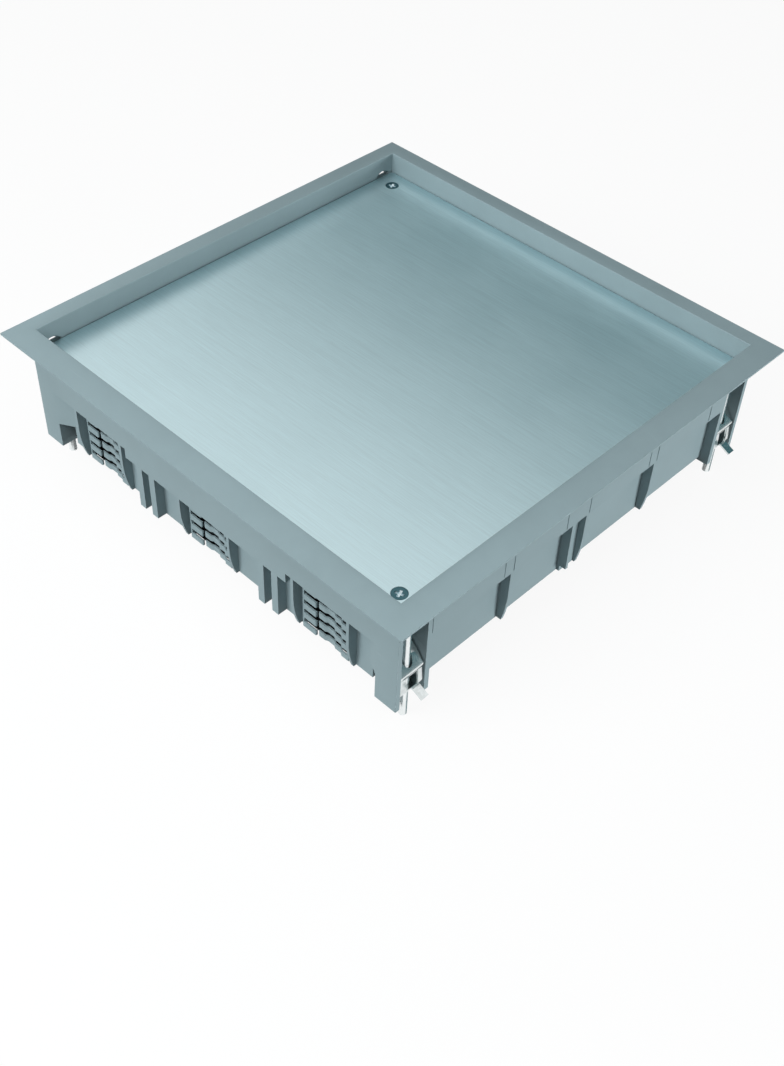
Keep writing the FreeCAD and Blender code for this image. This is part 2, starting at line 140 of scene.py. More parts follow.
# Window in the claw's face: its middle, behind the body's face, beside the pocket's middle
# and below the flange's edge, and its half size
WINDOW_BACK = 1
WINDOW_SHIFT = 0.6
WINDOW_DROP = 50.4
WINDOW_HALF = (3, 3.5, 3.8)
BEND_SHARE = 0.45                  # a bend takes up at most this share of a flat's length

# Dark cards of painted shade that lie inside the body, clear of the claws: half sizes and heights, in
# metres
SHADE_CARDS = ((0.1095, 0.1147, 0.0160), (0.1145, 0.1040, 0.0161), (0.0985, 0.1158, 0.0162))
# near-black colour of the cards, painted shade for the dark inside of the body
SHADE_CARD_COLOUR = (0.010, 0.014, 0.016, 1)

# Leaning grey card: its corners, in metres
GREY_CARD = ((-4.5, 0.80, 1.0), (5.0, 0.80, 1.0), (5.0, 1.5, 0.0), (-4.5, 1.5, 0.0))
GREY_CARD_COLOUR = (0.04, 0.13, 0.15, 1)

# Floor, in metres
FLOOR_HALF = 6.0
FLOOR_BELOW = 0.0001               # gap between the floor and the screws' tips
FLOOR_GLOW = 0.92                  # share of the floor's white that no shadow darkens
WHITE = (1, 1, 1, 1)

# Lights
FILL_COLOUR = (0.90, 0.97, 1.0, 1)
LAMP_COLOUR = (0.96, 0.99, 1.0)
# Soft lamps, in metres: place, the point that each one faces, size, and its share of the light
HIGH_SOFTBOXES = {
    "overhead": ((0.05, -0.5, 1.0), (0.0, -0.1, 0.0), (1.6, 1.4), 0.70),
    "front_softbox": ((-0.2, -1.1, 0.75), (0.0, -0.1, 0.05), (0.9, 0.5), 0.56),
}
LOW_SOFTBOXES = {
    "left_softbox": ((-0.42, -1.42, 0.10), (0.0, -0.13, 0.05), (0.5, 0.2), 0.28),
    "right_softbox": ((1.42, 0.42, 0.10), (0.13, 0.0, 0.05), (0.5, 0.2), 1.0),
    "back_softbox": ((-1.0, 1.1, 0.05), (0.0, 0.0, 0.05), (0.8, 0.2), 0.22),
}

# Camera at the photograph's place, in metres
PHOTO_WIDTH = 784                  # in pixels
FOCAL_LENGTH = 1382.626            # in the photograph's pixels
SENSOR_WIDTH = 36                  # in mm
NEAREST_SEEN = 0.01
CAMERA_X = 0.3591965
CAMERA_Y = -0.3882199
CAMERA_RISE = 0.4008966            # above the flange's edge
CAMERA_RIGHT = (0.7134536, 0.6998798, 0.0339453)
CAMERA_DOWN = (0.5129052, -0.4886193, -0.7058183)
CAMERA_FORWARD = (-0.4774016, 0.5209793, -0.7075792)


class CoverSettings(bpy.types.PropertyGroup):
    """Sizes and colours of the cover's looks."""

    plastic_colour: bpy.props.FloatVectorProperty(
        name="Plastic", description="Moulded frame's colour", subtype="COLOR",
        size=3, min=0, max=1, default=(0.280, 0.365, 0.388))
    plate_colour: bpy.props.FloatVectorProperty(
        name="Plate", description="Brushed cover plate's colour", subtype="COLOR",
        size=3, min=0, max=1, default=(0.665, 0.835, 0.872))
    cover_screw_colour: bpy.props.FloatVectorProperty(
        name="Cover screws", description="Dark plated cover screws' colour", subtype="COLOR",
        size=3, min=0, max=1, default=(0.075, 0.165, 0.19))
    zinc_colour: bpy.props.FloatVectorProperty(
        name="Clamp screws", description="Bright zinc clamp screws' colour", subtype="COLOR",
        size=3, min=0, max=1, default=(0.86, 0.90, 0.90))
    claw_colour: bpy.props.FloatVectorProperty(
        name="Claws", description="Steel claws' colour", subtype="COLOR",
        size=3, min=0, max=1, default=(0.76, 0.81, 0.81))
    floor_colour: bpy.props.FloatVectorProperty(
        name="Floor", description="Studio floor's colour", subtype="COLOR",
        size=3, min=0, max=1, default=(0.93, 0.94, 0.94))
    grain_length: bpy.props.FloatProperty(
        name="Grain length", description="Length of the plate's brushed streaks",
        default=0.03, min=0.002, max=0.2, unit="LENGTH")
    grain_width: bpy.props.FloatProperty(
        name="Grain width", description="Width of the plate's brushed streaks",
        default=0.0006, min=0.0001, max=0.01, unit="LENGTH")
    thread_pitch: bpy.props.FloatProperty(
        name="Thread pitch", description="Pitch of the clamp screws' thread",
        default=0.0007, min=0.0003, max=0.002, unit="LENGTH")
    thread_depth: bpy.props.FloatProperty(
        name="Thread depth", description="Depth of the clamp screws' thread",
        default=0.00026, min=0.0001, max=0.001, unit="LENGTH")
    sheet: bpy.props.FloatProperty(
        name="Claw sheet", description="Thickness of the claws' steel strip",
        default=0.001, min=0.0005, max=0.003, unit="LENGTH")
    bend_radius: bpy.props.FloatProperty(
        name="Claw bends", description="Outer radius of the claws' bends",
        default=0.0015, min=0.0002, max=0.004, unit="LENGTH")
    light_level: bpy.props.FloatProperty(
        name="Light", description="Power that the soft lights share out, in watts",
        default=15.5, min=0, max=500)
    side_share: bpy.props.FloatProperty(
        name="Low softboxes", description="Power of the low softboxes, as a share of the whole",
        default=1.02, min=0, max=5)
    sky_level: bpy.props.FloatProperty(
        name="Fill", description="Brightness of the even fill light",
        default=0.06, min=0, max=5)
    floor_bounce: bpy.props.FloatProperty(
        name="Floor bounce", description="How much light the floor throws back up, as a share",
        default=0.12, min=0, max=1)


class Value:
    """A number in a shader, whose arithmetic adds Math nodes."""

    def __init__(self, graph, socket):
        self.graph = graph
        self.socket = socket

    def calculate(self, operation, first, second, clamp=False):
        node = self.graph.add("ShaderNodeMath", {"operation": operation, "use_clamp": clamp},
                              {0: first, 1: second})
        return Value(self.graph, node.outputs[0])

    def __add__(self, other):
        return self.calculate("ADD", self, other)

    def __radd__(self, other):
        return self.calculate("ADD", other, self)

    def __sub__(self, other):
        return self.calculate("SUBTRACT", self, other)

    def __rsub__(self, other):
        return self.calculate("SUBTRACT", other, self)

    def __mul__(self, other):
        return self.calculate("MULTIPLY", self, other)

    def __rmul__(self, other):
        return self.calculate("MULTIPLY", other, self)

    def between(self, low, high):
        """0 below low, 1 above high, straight in between."""
        return self.calculate("MULTIPLY", self - low, 1 / (high - low), clamp=True)


class Graph:
    """The node tree of a new material, or of the world."""

    def __init__(self, name, world=None):
        self.material = world or bpy.data.materials.new(name)
        self.material.use_nodes = True
        self.tree = self.material.node_tree
        self.tree.nodes.clear()
        self.place = self.add("ShaderNodeTexCoord").outputs["Object"]

    def add(self, kind, settings=None, inputs=None):
        """A node of one type: its settings are made first, then its inputs."""
        node = self.tree.nodes.new(kind)
        for key, value in (settings or {}).items():
            setattr(node, key, value)
        for key, value in (inputs or {}).items():
            source = value.socket if isinstance(value, Value) else value
            if isinstance(source, bpy.types.NodeSocket):
                self.tree.links.new(source, node.inputs[key])
            else:
                node.inputs[key].default_value = source
        return node

    def stretched(self, sizes):
        """Coordinates divided by a size along each axis."""
        scale = [1 / size for size in sizes]
        return self.add("ShaderNodeVectorMath", {"operation": "MULTIPLY"},
                        {0: self.place, 1: scale}).outputs[0]

    def noise(self, sizes, detail=2.0, rough=0.5):
        """Soft noise from 0 to 1, its features about the given sizes in metres."""
        node = self.add("ShaderNodeTexNoise", {}, {
            "Vector": self.stretched(sizes), "Scale": 1.0, "Detail": detail, "Roughness": rough})
        return Value(self, node.outputs["Fac"])

    def mix(self, amount, first, second):
        """A colour between two colours."""
        node = self.add("ShaderNodeMix", {"data_type": "RGBA"}, {0: amount, 6: first, 7: second})
        return node.outputs[2]

    def bump(self, height, distance, strength):
        """Surface direction of a relief, from its height and its depth in metres."""
        return self.add("ShaderNodeBump", {}, {
            "Height": height, "Distance": distance, "Strength": strength}).outputs["Normal"]

    def finish(self, inputs):
        """Ends the tree with its surface shader."""
        shader = self.add("ShaderNodeBsdfPrincipled", {}, inputs)
        self.add("ShaderNodeOutputMaterial", {}, {"Surface": shader.outputs[0]})
        return self.material


def tinted(colour, amount):
    """Colour with alpha, made lighter or darker by a factor."""
    return [min(1.0, channel * amount) for channel in colour] + [1.0]


def plastic_material(settings):
    """Matt moulded plastic: fine grain, faint mottling, light scuffs."""
    graph = Graph("moulded_plastic")
    mottle = graph.noise([0.05] * 3, detail=4.0)
    cloud = graph.noise([0.009] * 3, detail=3.0)
    grain = graph.noise([0.0005] * 3, detail=2.0)
    scuff = graph.noise([0.03, 0.0016, 0.006], detail=3.0, rough=0.65).between(0.66, 0.80)
    shade = (mottle * 0.7 + cloud * 0.3).between(0.3, 0.7)
    body = graph.mix(shade, tinted(settings.plastic_colour, 0.94),
                     tinted(settings.plastic_colour, 1.05))
    colour = graph.mix(scuff * 0.25, body, tinted(settings.plastic_colour, 1.30))
    return graph.finish({
        "Base Color": colour,
        "Roughness": 0.50 + cloud * 0.14 - scuff * 0.10,
        "Specular IOR Level": 0.20,
        "Normal": graph.bump(grain * 0.6 + cloud * 0.4, 0.00006, 0.5),
    })


def plate_material(settings):
    """Brushed zinc-coated steel: streaks along X, faint clouds and handling marks."""
    graph = Graph("brushed_cover_steel")
    width = settings.grain_width
    streak = graph.noise([settings.grain_length, width, 0.01], detail=3.0, rough=0.6)
    fine = graph.noise([settings.grain_length * 0.3, width * 0.4, 0.01], detail=2.0)
    cloud = graph.noise([0.045] * 3, detail=3.0)
    mark = graph.noise([0.004, 0.0022, 0.01], detail=4.0, rough=0.7).between(0.62, 0.78)
    tone = (streak * 0.6 + fine * 0.4).between(0.25, 0.75)
    brushed = graph.mix(tone, tinted(settings.plate_colour, 0.90),
                        tinted(settings.plate_colour, 1.08))
    colour = graph.mix(mark * cloud * 0.5, brushed, tinted(settings.plate_colour, 0.80))
    return graph.finish({
        "Base Color": colour,
        "Metallic": 1.0,
        "Roughness": 0.30 + tone * 0.10 + cloud * 0.06,
        "Normal": graph.bump(streak * 0.5 + fine * 0.5, 0.00001, 0.5),
    })


def steel_material(name, colour, rough, stain):
    """Plated steel of a small part: uneven plating, fine scratches, dulled patches."""
    graph = Graph(name)
    patch = graph.noise([0.004] * 3, detail=4.0)
    fine = graph.noise([0.0007] * 3, detail=3.0)
    scratch = graph.noise([0.0003, 0.003, 0.003], detail=2.0).between(0.60, 0.72)
    plating = graph.mix(patch.between(0.3, 0.7), tinted(colour, 1 - stain),
                        tinted(colour, 1 + stain / 2))
    wear_and_glint = graph.mix(scratch * 0.35, plating, tinted(colour, 1.5))
    return graph.finish({
        "Base Color": wear_and_glint,
        "Metallic": 1.0,
        "Roughness": rough + fine * 0.12 - scratch * 0.05,
        "Normal": graph.bump(fine * 0.7 + patch * 0.3, 0.00004, 0.4),
    })


def plated_material(settings):
    """Dark plating of the cover screws, with a painted reflection: the cross recess is painted
    bright.
    """
    graph = Graph("dark_plated_steel")
    patch = graph.noise([0.002] * 3, detail=4.0)
    fine = graph.noise([0.0005] * 3, detail=3.0)
    height = Value(graph, graph.add("ShaderNodeSeparateXYZ", {}, {0: graph.place}).outputs[2])
    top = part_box("cover_screw_front")[1].z
    # painted reflection: below the head's top, the recess walls are painted bright
    wear_and_glint = 1 - height.between(top - RECESS_GLINT_FULL * MM, top - RECESS_GLINT_BEGINS * MM)
    dark = graph.mix(patch.between(0.3, 0.7), tinted(settings.cover_screw_colour, 0.85),
                     tinted(settings.cover_screw_colour, 1.10))
    colour = graph.mix(wear_and_glint * 0.95, dark, RECESS_GLINT_COLOUR)
    return graph.finish({
        "Base Color": colour,
        "Metallic": 1.0,
        "Roughness": 0.32 + fine * 0.12,
        "Normal": graph.bump(fine, 0.00003, 0.4),
    })


def paint(node_name, material):
    """Gives a CAD node its material; its mesh stays as it is."""
    mesh = bpy.data.objects[node_name].data
    mesh.materials.clear()
    mesh.materials.append(material)


def smooth(bm):
    """Smooths a bmesh but for its sharper edges."""
    for face in bm.faces:
        face.smooth = True
    for edge in bm.edges:
        edge.smooth = len(edge.link_faces) == 2 and edge.calc_face_angle(0.0) < SHARP_ANGLE


def mesh_object(name, bm, material):
    """Object from a bmesh, smooth but for its sharper edges."""
    bmesh.ops.remove_doubles(bm, verts=bm.verts, dist=MERGE_DISTANCE)
    bmesh.ops.recalc_face_normals(bm, faces=bm.faces)
    smooth(bm)
    mesh = bpy.data.meshes.new(name)
    bm.to_mesh(mesh)
    bm.free()
    mesh.materials.append(material)
    made = bpy.data.objects.new(name, mesh)
    bpy.context.scene.collection.objects.link(made)
    return made


def copied(pattern, name, place):
    """Copy of a pattern's mesh at another place, as a new object."""
    mesh = pattern.data.copy()
    mesh.transform(place)
    made = bpy.data.objects.new(name, mesh)
    bpy.context.scene.collection.objects.link(made)
    return made


def bake(made):
    """Applies the object's modifiers and marks its sharp edges again."""
    bpy.context.view_layer.update()
    evaluated = made.evaluated_get(bpy.context.evaluated_depsgraph_get())
    mesh = bpy.data.meshes.new_from_object(evaluated)
    made.modifiers.clear()
    made.data = mesh
    bm = bmesh.new()
    bm.from_mesh(mesh)
    smooth(bm)
    bm.to_mesh(mesh)
    bm.free()


def combine(made, others, operation="DIFFERENCE"):
    """Cuts other objects out of one, or joins them to it, and removes them."""
    for other in others:
        change = made.modifiers.new("shape", "BOOLEAN")
        change.operation = operation
        change.solver = "EXACT"
        change.object = other
    bake(made)
    for other in others:
        bpy.data.objects.remove(other)


def clean(bm, distance):
    """Merges the doubled points of a bmesh and drops its empty faces."""
    bmesh.ops.remove_doubles(bm, verts=bm.verts, dist=distance)
    bmesh.ops.dissolve_degenerate(bm, dist=distance, edges=bm.edges)


def combine_cleanly(made, other, operation="DIFFERENCE"):
    """Cuts or joins one object, and leaves a closed mesh without empty faces."""
    combine(made, [other], operation)
    bm = bmesh.new()
    bm.from_mesh(made.data)
    clean(bm, CUT_MERGE_DISTANCE)
    bm.to_mesh(made.data)
    bm.free()


def add_lathe(bm, profile, centre, steps=ROUND_STEPS):
    """Surface of revolution about an upright axis, from (radius, height) pairs."""
    rings = []
    for radius, height in profile:
        if radius < MERGE_DISTANCE:
            rings.append([bm.verts.new((centre.x, centre.y, height))])
            continue
        ring = []
        for step in range(steps):
            angle = 2 * math.pi * step / steps
            ring.append(bm.verts.new((centre.x + radius * math.cos(angle),
                                      centre.y + radius * math.sin(angle), height)))
        rings.append(ring)
    for low, high in zip(rings, rings[1:]):
        for step in range(steps):
            after = (step + 1) % steps
            corners = [low[step % len(low)], low[after % len(low)],
                       high[after % len(high)], high[step % len(high)]]
            bm.faces.new(list(dict.fromkeys(corners)))


def add_thread(bm, bottom, top, radius, depth, pitch):
    """Helical thread on the upright axis: a flat root and a flat crest, joined by straight flanks.

    The thread runs out in a cone at its bottom, and keeps to its root at its top.
    """
    root = radius - depth
    shape = ((0.0, root), (ROOT_END, root), (CREST_START, radius), (CREST_END, radius))
    turns = math.ceil((top - bottom) / pitch) + 2
    rows = []
    for step in range(turns * THREAD_STEPS + 1):
        angle = 2 * math.pi * step / THREAD_STEPS
        row = []
        for share, reach in shape:
            height = bottom + pitch * (step / THREAD_STEPS - 1 + share)
            if height >= top:
                reach = root
            height = min(max(height, bottom), top)
            reach = min(reach, root - depth + (height - bottom))
            row.append(bm.verts.new((reach * math.cos(angle), reach * math.sin(angle), height)))
        rows.append(row)
    for step in range(turns * THREAD_STEPS):
        this, after = rows[step], rows[step + 1]
        for index in range(len(shape) - 1):
            bm.faces.new((this[index], after[index], after[index + 1], this[index + 1]))
        if step + 1 + THREAD_STEPS < len(rows):
            over, over_after = rows[step + THREAD_STEPS], rows[step + 1 + THREAD_STEPS]
            bm.faces.new((this[-1], after[-1], over_after[0], over[0]))


def cross_cutters(centre, top, sizes, material):
    """The two tapered wings of a cross recess, as objects that cut."""
    reach, width, depth = [size * MM for size in sizes]
    levels = ((top + CROSS_ABOVE * MM, reach, width / 2),
              (top - depth, reach * CROSS_FLOOR_REACH, width * CROSS_FLOOR_HALF))
    wings = []
    for turn in CROSS_TURNS:
        spin = Matrix.Rotation(math.radians(turn), 3, "Z")
        bm = bmesh.new()
        corners = []
        for level, length, half in levels:
            for x, y in ((-length, -half), (length, -half), (length, half), (-length, half)):
                place = spin @ Vector((x, y, 0))
                corners.append(bm.verts.new((centre.x + place.x, centre.y + place.y, level)))
        for side in BOX_SIDES:
            bm.faces.new([corners[index] for index in side])
        wings.append(mesh_object("cutter", bm, material))
    return wings


def add_box(bm, low, high, turn=0.0):
    """Box between two corners, turned about the upright axis."""
    size = Matrix.Diagonal((*(high - low), 1))
    middle = Matrix.Translation((low + high) / 2)
    bmesh.ops.create_cube(bm, size=1, matrix=Matrix.Rotation(turn, 4, "Z") @ middle @ size)


def add_prism(bm, outline, low, high, turn=0.0):
    """Upright prism over an outline, turned about the upright axis."""
    spin = Matrix.Rotation(turn, 3, "Z")
    floor, roof = [[bm.verts.new(spin @ Vector((x, y, level))) for x, y in outline]
                   for level in (low, high)]
    bm.faces.new(floor[::-1])
    bm.faces.new(roof)
    for index in range(len(outline)):
        after = (index + 1) % len(outline)
        bm.faces.new((floor[index], floor[after], roof[after], roof[index]))


def opened_frame(material):
    """The moulded frame with thin comb slats, so that the gaps between them stand open."""
    source = bpy.data.objects["frame"]
    bm = bmesh.new()
    bm.from_mesh(source.data)
    bm.transform(source.matrix_world)
    shown = mesh_object("frame_shown", bm, material)
    gaps = bmesh.new()
    backs = bmesh.new()
    edge = EDGE_Z / MM
    slats_low = EDGE_Z - (COMB_DROP + CUT_PAST) * MM
    slats_high = EDGE_Z - (GAP_DROPS[0] - GAP_HEIGHT / 2) * MM
    behind = CUT_BEHIND - COMB_FACE
    for turn in (0.0, math.pi):
        for place in COMB_PLACES:
            for drop in GAP_DROPS:
                low = Vector((place - GAP_REACH, -BODY_HALF - CUT_PAST, edge - drop - GAP_HEIGHT / 2))
                high = Vector((place + GAP_REACH, behind, edge - drop + GAP_HEIGHT / 2))
                add_box(gaps, low * MM, high * MM, turn)
            outline = [((place + x) * MM, (SLAT_SHEET - COMB_FACE - proud) * MM)
                       for x, proud in SLAT_FOLDS]
            outline += [((place + x) * MM, behind * MM)
                        for x in (SLAT_FOLDS[-1][0], SLAT_FOLDS[0][0])]
            add_prism(backs, outline, slats_low, slats_high, turn)
    for cutter in (backs, gaps):
        combine_cleanly(shown, mesh_object("cutter", cutter, material))
    return shown


def clamp_head(seat, top, material):
    """Rounded pan head with a cross recess, on the upright axis."""
    radius = CLAMP_HEAD_RADIUS * MM
    edge = CLAMP_HEAD_EDGE * MM
    dome = CLAMP_HEAD_DOME * MM
    profile = [(0, seat), (radius - edge, seat), (radius, seat + edge),
               (radius, seat + CLAMP_HEAD_SIDE * MM)]
    for step in range(1, DOME_STEPS + 1):
        angle = math.pi / 2 * step / DOME_STEPS
        rise = CLAMP_HEAD_SIDE + CLAMP_HEAD_DOME * math.sin(angle)
        profile.append((radius - dome * (1 - math.cos(angle)), seat + rise * MM))
    profile.append((0, top))
    bm = bmesh.new()
    add_lathe(bm, profile, AXIS)
    head = mesh_object("clamp_screw_pattern", bm, material)
    combine(head, cross_cutters(AXIS, top, CLAMP_CROSS, material))
    return head


def threaded_shaft(bottom, top, settings, material):
    """Shaft with a full thread, closed at both ends, on the upright axis."""
    bm = bmesh.new()
    radius = SHAFT_RADIUS * MM
    depth = settings.thread_depth
    add_thread(bm, bottom, top, radius, depth, settings.thread_pitch)
    for level, end_radius in ((bottom, radius - 2 * depth), (top, radius - depth)):
        add_lathe(bm, [(end_radius, level), (0, level)], AXIS, steps=THREAD_STEPS)
    clean(bm, THREAD_MERGE_DISTANCE)
    return mesh_object("shaft", bm, material)


def clamp_screw(bottom, top, settings, material):
    """Clamp screw on the upright axis: its head and its threaded shaft, in one mesh."""
    seat = top - CLAMP_HEAD_HEIGHT * MM
    head = clamp_head(seat, top, material)
    shaft = threaded_shaft(bottom, seat + SHAFT_OVERLAP * MM, settings, material)
    bm = bmesh.new()
    bm.from_mesh(head.data)
    bm.from_mesh(shaft.data)
    bm.to_mesh(head.data)
    bm.free()
    bpy.data.objects.remove(shaft)
    return head


def cover_screw(node, material):
    """Countersunk cover screw: flat head with a softened rim and a tapered cross recess."""
    low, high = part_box(node)
    centre = (low + high) / 2
    top = high.z
    radius = COVER_HEAD_RADIUS * MM
    soft = COVER_HEAD_SOFT * MM
    profile = [(0, low.z), (COVER_POINT_RADIUS * MM, low.z),
               (SHAFT_RADIUS * MM, low.z + COVER_POINT_HEIGHT * MM),
               (SHAFT_RADIUS * MM, top - COVER_HEAD_HEIGHT * MM),
               (radius, top - COVER_HEAD_EDGE * MM), (radius, top - soft),
               (radius - soft, top), (0, top)]
    bm = bmesh.new()
    add_lathe(bm, profile, centre)
    head = mesh_object(node + "_shown", bm, material)
    combine(head, cross_cutters(centre, top, COVER_CROSS, material))
    return head


def rounded_path(points, radius):
    """Points of a path in a plane, with its bends rounded."""
    path = [points[0]]
    for before, corner, after in zip(points, points[1:], points[2:]):
        run_in = (corner - before).normalized()
        run_out = (after - corner).normalized()
        turn = run_in.angle(run_out)
        cut = min(radius * math.tan(turn / 2), (corner - before).length * BEND_SHARE,
                  (after - corner).length * BEND_SHARE)
        start = corner - run_in * cut
        end = corner + run_out * cut
        for step in range(BEND_STEPS + 1):
            t = step / BEND_STEPS
            path.append(start * (1 - t) ** 2 + corner * 2 * t * (1 - t) + end * t ** 2)
    path.append(points[-1])
    return path


def add_strip(bm, points, thickness, low, high):
    """Bent sheet: a path in the XZ plane, thickened on its inner side, from low to high in Y."""
    inner = []
    for index, point in enumerate(points):
        before = points[max(index - 1, 0)]
        after = points[min(index + 1, len(points) - 1)]
        run = (after - before).normalized()
        inner.append(point + Vector((run.y, -run.x)) * thickness)
    section = points + inner[::-1]
    near = [bm.verts.new((point.x, low, point.y)) for point in section]
    far = [bm.verts.new((point.x, high, point.y)) for point in section]
    count = len(section)
    for index in range(count):
        after = (index + 1) % count
        bm.faces.new((near[index], near[after], far[after], far[index]))
    for ring in (near, far):
        for index in range(len(points) - 1):
            facing = count - 1 - index
            bm.faces.new((ring[index], ring[index + 1], ring[facing - 1], ring[facing]))


def bent_piece(name, bends, low, high, settings, material):
    """Strip bent through points behind the body's face and below the flange's edge."""
    points = [Vector((BODY_HALF - back, EDGE_Z / MM - drop)) * MM for back, drop in bends]
    bm = bmesh.new()
    path = rounded_path(points, settings.bend_radius)
    add_strip(bm, path, settings.sheet, low * MM, high * MM)
    return mesh_object(name, bm, material)


def claw(settings, material):
    """Claw bent from strip, at the front right corner: arm, face, foot, prong and collar."""
    screw = Vector((CLAMP_X, -POCKET_Y, 0)) * MM
    strip = bent_piece("claw_pattern", CLAW_BENDS, -POCKET_Y - CLAW_HALF, -POCKET_Y + CLAW_HALF,
                       settings, material)
    prong_high = -POCKET_Y + CLAW_HALF - PRONG_EDGE
    prong = bent_piece("prong", PRONG_BENDS, prong_high - PRONG_WIDTH, prong_high, settings, material)
    bm = bmesh.new()
    foot = EDGE_Z - FOOT_DROP * MM
    add_lathe(bm, [(radius * MM, foot + rise * MM) for radius, rise in COLLAR], screw)
    collar = mesh_object("collar", bm, material)
    for piece in (prong, collar):
        combine_cleanly(strip, piece, "UNION")

    for low, high, radius in CLAW_BORES:
        bm = bmesh.new()
        add_lathe(bm, [(0, EDGE_Z + low * MM), (radius * MM, EDGE_Z + low * MM),
                       (radius * MM, EDGE_Z + high * MM), (0, EDGE_Z + high * MM)], screw)
        combine_cleanly(strip, mesh_object("cutter", bm, material))
    bm = bmesh.new()
    middle = Vector((BODY_HALF - WINDOW_BACK, WINDOW_SHIFT - POCKET_Y,
                     EDGE_Z / MM - WINDOW_DROP)) * MM
    half_size = Vector(WINDOW_HALF) * MM
    add_box(bm, middle - half_size, middle + half_size)
    combine_cleanly(strip, mesh_object("cutter", bm, material))
    return strip


class COVER_OT_frame(bpy.types.Operator):
    """Builds the moulded frame with its open combs"""

    bl_idname = "floor_cover.frame"
    bl_label = "Moulded frame"

    def execute(self, context):
        shown = opened_frame(plastic_material(context.scene.floor_cover))
        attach(shown, "frame")
        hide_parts("frame")
        return {"FINISHED"}


class COVER_OT_plate(bpy.types.Operator):
    """Gives the cover plate its brushed steel, and builds its two plated screws"""

    bl_idname = "floor_cover.plate"
    bl_label = "Cover plate and screws"

    def execute(self, context):
        settings = context.scene.floor_cover
        paint("cover_plate", plate_material(settings))
        plated = plated_material(settings)
        for node in ("cover_screw_front", "cover_screw_rear"):
            made = cover_screw(node, plated)
            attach(made, "frame")
            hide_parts(node)
        return {"FINISHED"}


class COVER_OT_clamp_screws(bpy.types.Operator):
    """Builds the four threaded clamp screws"""

    bl_idname = "floor_cover.clamp_screws"
    bl_label = "Clamp screws"

    def execute(self, context):
        settings = context.scene.floor_cover
        zinc = steel_material("bright_zinc", settings.zinc_colour, rough=0.16, stain=0.05)
        low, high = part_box("clamp_screw_front_left")
        pattern = clamp_screw(low.z, high.z, settings, zinc)
        for corner in CORNERS:
            node = "clamp_screw_" + corner
            low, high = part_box(node)
            centre = (low + high) / 2
            made = copied(pattern, node + "_shown", Matrix.Translation((centre.x, centre.y, 0)))
            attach(made, node)
            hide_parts(node)
        bpy.data.objects.remove(pattern)
        return {"FINISHED"}


class COVER_OT_claws(bpy.types.Operator):
    """Builds the four bent claws"""

    bl_idname = "floor_cover.claws"
    bl_label = "Claws"

    def execute(self, context):
        settings = context.scene.floor_cover
        steel = steel_material("dull_zinc_steel", settings.claw_colour, rough=0.15, stain=0.14)
        pattern = claw(settings, steel)
        for corner, (sx, sy) in CORNERS.items():
            node = "claw_" + corner
            place = Matrix.Rotation(math.pi if sx < 0 else 0, 4, "Z")
            if sx * sy > 0:
                place = place @ Matrix.Translation((0, 2 * POCKET_Y * MM, 0))
            made = copied(pattern, node + "_shown", place)
            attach(made, node)
            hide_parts(node)
        bpy.data.objects.remove(pattern)
        return {"FINISHED"}


class COVER_OT_stage(bpy.types.Operator):
    """Adds the floor, the soft lights and the camera"""

    bl_idname = "floor_cover.stage"
    bl_label = "Studio"

    def execute(self, context):
        settings = context.scene.floor_cover
        add_floor(settings)
        add_lights(settings)
        add_painted_shade_cards()
        add_grey_card()
        add_camera()
        context.scene.view_settings.view_transform = "Standard"
        return {"FINISHED"}


def seen_directly(graph):
    """1 for rays from the camera and for what metal mirrors, 0 for light that falls on surfaces."""
    rays = graph.add("ShaderNodeLightPath")
    seen = Value(graph, rays.outputs["Is Camera Ray"])
    for kind in ("Is Glossy Ray", "Is Transmission Ray"):
        seen = seen.calculate("MAXIMUM", seen, Value(graph, rays.outputs[kind]))
    return seen


def add_floor(settings):
    """White floor under the screws' tips, which keeps a soft shadow."""
    bm = bmesh.new()
    bmesh.ops.create_grid(bm, x_segments=1, y_segments=1, size=FLOOR_HALF)
    graph = Graph("studio_floor")
    matt = graph.add("ShaderNodeBsdfDiffuse", {}, {"Color": tinted(settings.floor_colour, 1.0)})
    white = graph.add("ShaderNodeEmission", {}, {"Color": WHITE, "Strength": 1.0})
    shown = graph.add("ShaderNodeMixShader", {},
                      {0: FLOOR_GLOW, 1: matt.outputs[0], 2: white.outputs[0]})
    dim = graph.add("ShaderNodeBsdfDiffuse", {},
                    {"Color": tinted(settings.floor_colour, settings.floor_bounce)})
    whole = graph.add("ShaderNodeMixShader", {},
                      {0: seen_directly(graph), 1: dim.outputs[0], 2: shown.outputs[0]})
    graph.add("ShaderNodeOutputMaterial", {}, {"Surface": whole.outputs[0]})
    floor = mesh_object("studio_floor", bm, graph.material)
    floor.location.z = -FLOOR_BELOW


def add_softbox(name, place, aim, size, power):
    """Soft rectangular lamp that faces a point."""
    data = bpy.data.lights.new(name, "AREA")
    data.shape = "RECTANGLE"
    data.size, data.size_y = size
    data.energy = power
    data.color = LAMP_COLOUR
    light = bpy.data.objects.new(name, data)
    light.visible_glossy = False
    light.location = place
    light.rotation_euler = (Vector(aim) - Vector(place)).to_track_quat("-Z", "Y").to_euler()
    bpy.context.scene.collection.objects.link(light)


def add_painted_shade_cards():
    """Dark cards of painted shade inside the body, seen through the combs' gaps."""
    bm = bmesh.new()
    for half_x, half_y, height in SHADE_CARDS:
        corners = [(-half_x, -half_y), (half_x, -half_y), (half_x, half_y), (-half_x, half_y)]
        bm.faces.new([bm.verts.new((x, y, height)) for x, y in corners])
    graph = Graph("painted_shade_card")
    # near-black card: painted shade where the inside of the body lies in shadow
    black = graph.finish({"Base Color": SHADE_CARD_COLOUR, "Roughness": 0.9})
    cards = mesh_object("dark_cards", bm, black)


